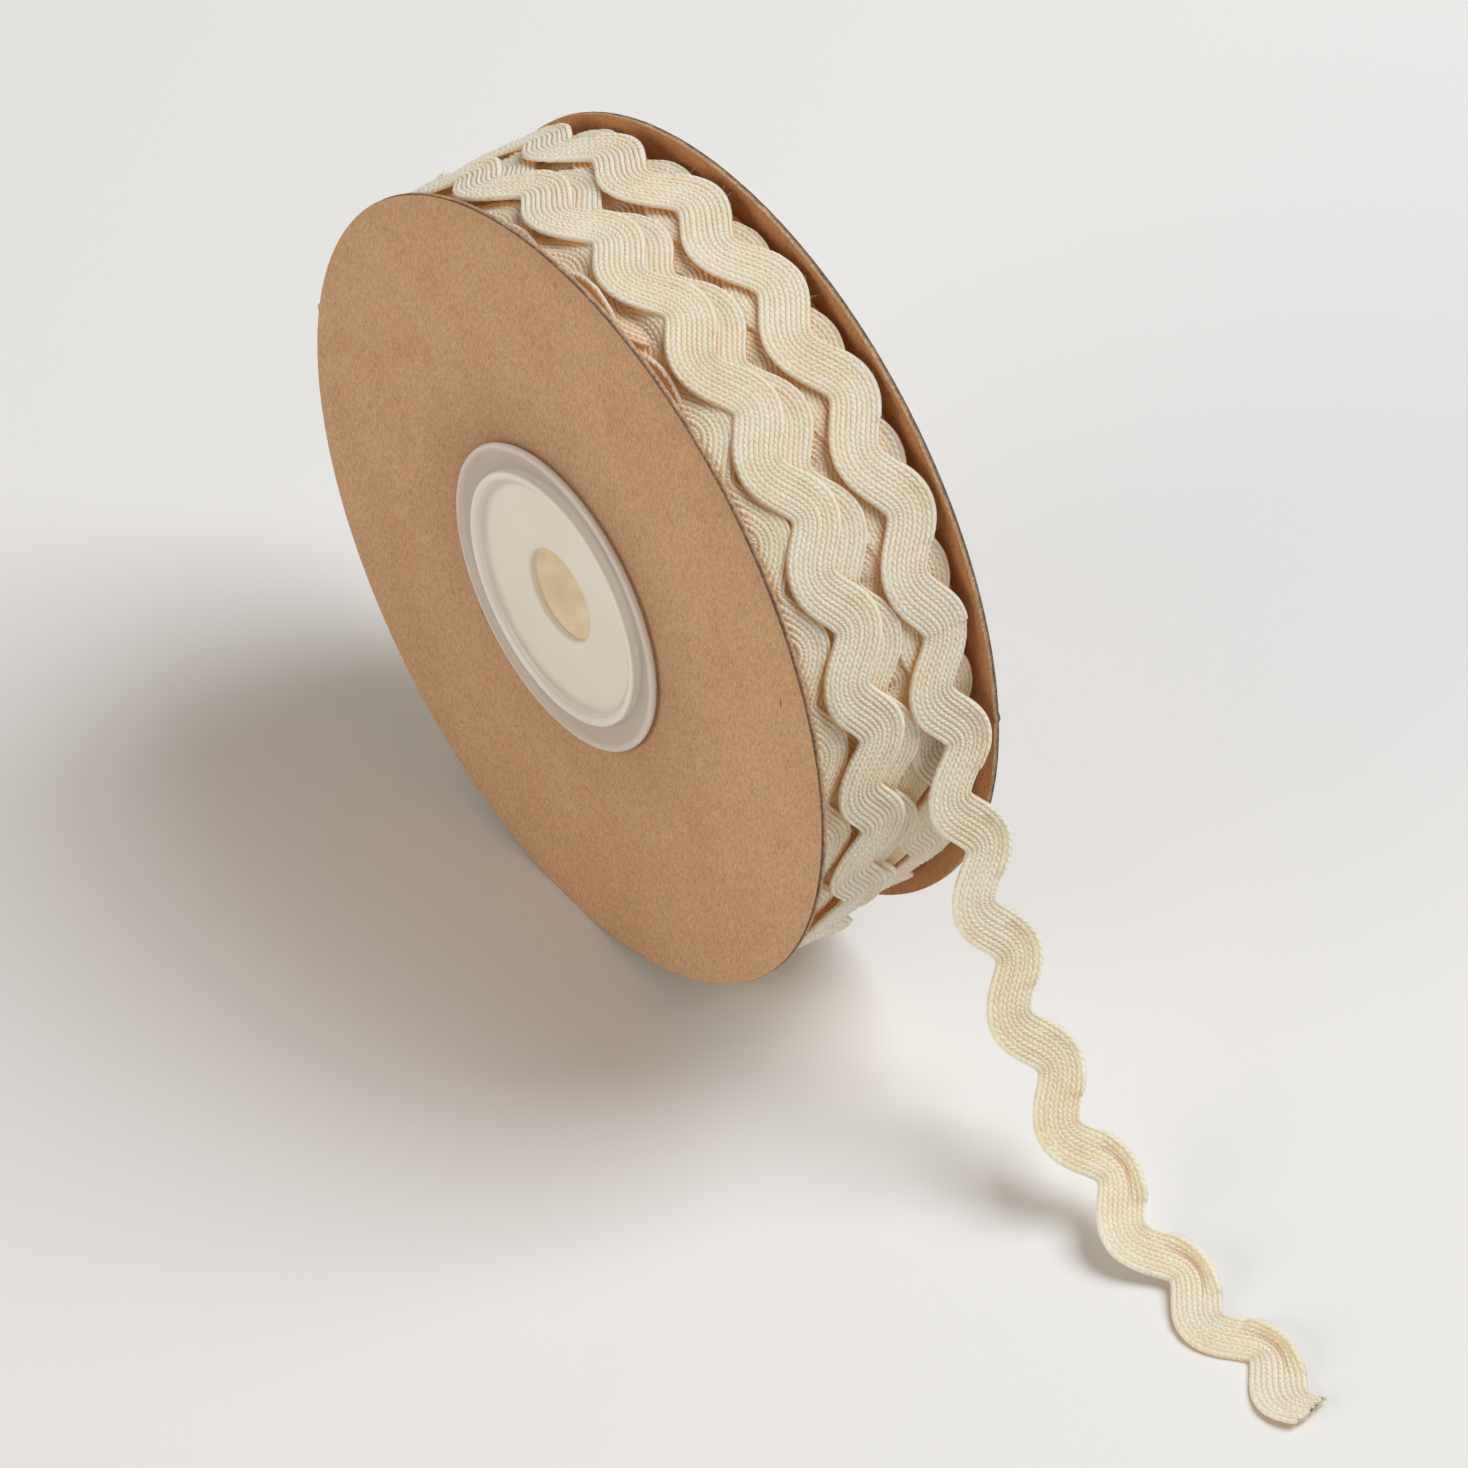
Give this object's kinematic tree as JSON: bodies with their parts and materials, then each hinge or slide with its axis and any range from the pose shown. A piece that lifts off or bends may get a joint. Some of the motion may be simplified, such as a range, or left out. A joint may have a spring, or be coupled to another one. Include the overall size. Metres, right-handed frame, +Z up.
{
  "type": "roll of ric rac",
  "caption": "Roll of wavy ric rac braid wound between two round kraft boards on a hollow plastic core, standing on its rims, the loose end draped down the front onto the surface.",
  "frame": {"origin": "on the surface the roll stands on, under the middle of the bounding box of roll and loose end together", "axes": "+Z up, +X the way the loose end leads off along the surface, Y along the roll's own axis with the far board towards +Y"},
  "size_m": [0.1704, 0.0288, 0.1019],
  "materials": {
    "kraft_board": "matt brown kraft board with fine fibres and a greyer cut edge",
    "core_plastic": "milky translucent moulded polypropylene, satin",
    "cotton_braid": "natural cream cotton braid with fine cords along its length"
  },
  "bodies": {
    "root": {"near_board": "kraft_board", "far_board": "kraft_board", "near_plug": "core_plastic", "far_plug": "core_plastic", "wound_ric_rac": "cotton_braid", "loose_end": "cotton_braid"}
  },
  "joints": []
}
